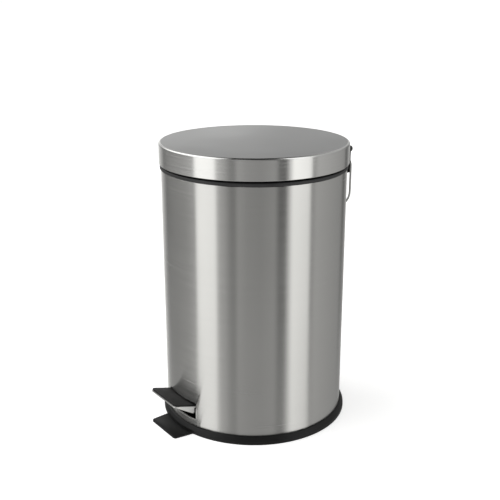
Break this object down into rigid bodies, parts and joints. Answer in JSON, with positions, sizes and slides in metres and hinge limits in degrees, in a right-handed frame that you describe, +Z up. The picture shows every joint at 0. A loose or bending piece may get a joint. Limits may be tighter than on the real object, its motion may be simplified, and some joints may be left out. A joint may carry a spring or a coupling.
{
  "type": "pedal bin",
  "caption": "Round brushed-steel pedal bin with a flat hinged lid, black base with a tongue, rubber-topped foot pedal, rear wire handle and lift-out bucket.",
  "frame": {"origin": "on the can's axis, on the floor, in the base's flat underside", "axes": "+Z up along the can's axis, -Y towards the pedal, +Y towards the lid's hinge, +X to the right of someone facing the hinge from the pedal"},
  "size_m": [0.2614, 0.2929, 0.385],
  "materials": {
    "brushed_shell": "satin stainless, brushed round the can",
    "brushed_lid": "satin stainless, finely brushed",
    "pedal_steel": "satin stainless pressing",
    "plated_steel": "zinc-plated steel, satin",
    "wire_steel": "drawn wire, satin",
    "coated_steel": "black powder coat, satin",
    "black_plastic": "fine matt moulding",
    "grey_plastic": "matt moulding",
    "bucket_plastic": "matt moulding, slightly waxy",
    "rubber": "matt",
    "pad_rubber": "matt, lightly textured"
  },
  "bodies": {
    "body": {"base": "black_plastic", "body_shell": "brushed_shell", "collar": "grey_plastic", "hinge_bracket": "black_plastic", "bracket_screw_left": "plated_steel", "bracket_nut_left": "plated_steel", "bracket_screw_right": "plated_steel", "bracket_nut_right": "plated_steel", "hinge_pin": "coated_steel", "hinge_pin_clip": "coated_steel", "lever_axle": "plated_steel", "axle_clip_left": "plated_steel", "axle_clip_right": "plated_steel", "rod_guide_lower": "black_plastic", "rod_guide_upper": "black_plastic", "lever_stop_pad": "rubber"},
    "lid": {"lid_shell": "brushed_lid", "lid_liner": "black_plastic", "lid_hinge_arm": "coated_steel", "leaf_screw_left": "plated_steel", "leaf_nut_left": "plated_steel", "leaf_screw_right": "plated_steel", "leaf_nut_right": "plated_steel", "lid_buffer_front": "rubber", "lid_buffer_right": "rubber", "lid_buffer_left": "rubber"},
    "pedal": {"pedal_lever": "pedal_steel", "pedal_pad": "pad_rubber"},
    "push_rod": {"push_rod": "wire_steel", "rod_clip": "plated_steel"},
    "carry_handle": {"carry_handle": "wire_steel"},
    "bucket": {"bucket": "bucket_plastic"},
    "bucket_bail": {"bucket_bail": "wire_steel"}
  },
  "joints": [
    {"name": "lid_hinge", "type": "hinge", "parent": "body", "child": "lid", "pos_m": [0, 0.134, 0.365], "axis": [-1, 0, 0], "range_deg": [0, 75]},
    {"name": "pedal_pivot", "type": "hinge", "parent": "body", "child": "pedal", "pos_m": [0, -0.03006, 0.012], "axis": [1, 0, 0], "range_deg": [0, 10]},
    {"name": "push_rod_slide", "type": "slide", "parent": "body", "child": "push_rod", "axis": [0, 0, 1], "range_m": [0, 0.0261]},
    {"name": "carry_handle_swing", "type": "hinge", "parent": "body", "child": "carry_handle", "pos_m": [0, 0.1342, 0.345], "axis": [1, 0, 0], "range_deg": [0, 100]},
    {"name": "bucket_lift", "type": "slide", "parent": "body", "child": "bucket", "axis": [0, 0, 1], "range_m": [0, 0.012]},
    {"name": "bucket_bail_swing", "type": "hinge", "parent": "bucket", "child": "bucket_bail", "pos_m": [0, 0, 0.357], "axis": [-1, 0, 0], "range_deg": [0, 5]}
  ],
  "couplings": [
    {"joint": "pedal_pivot", "follows": "lid_hinge", "ratio": 0.13333},
    {"joint": "push_rod_slide", "follows": "lid_hinge", "m_per_rad": 0.019931}
  ]
}
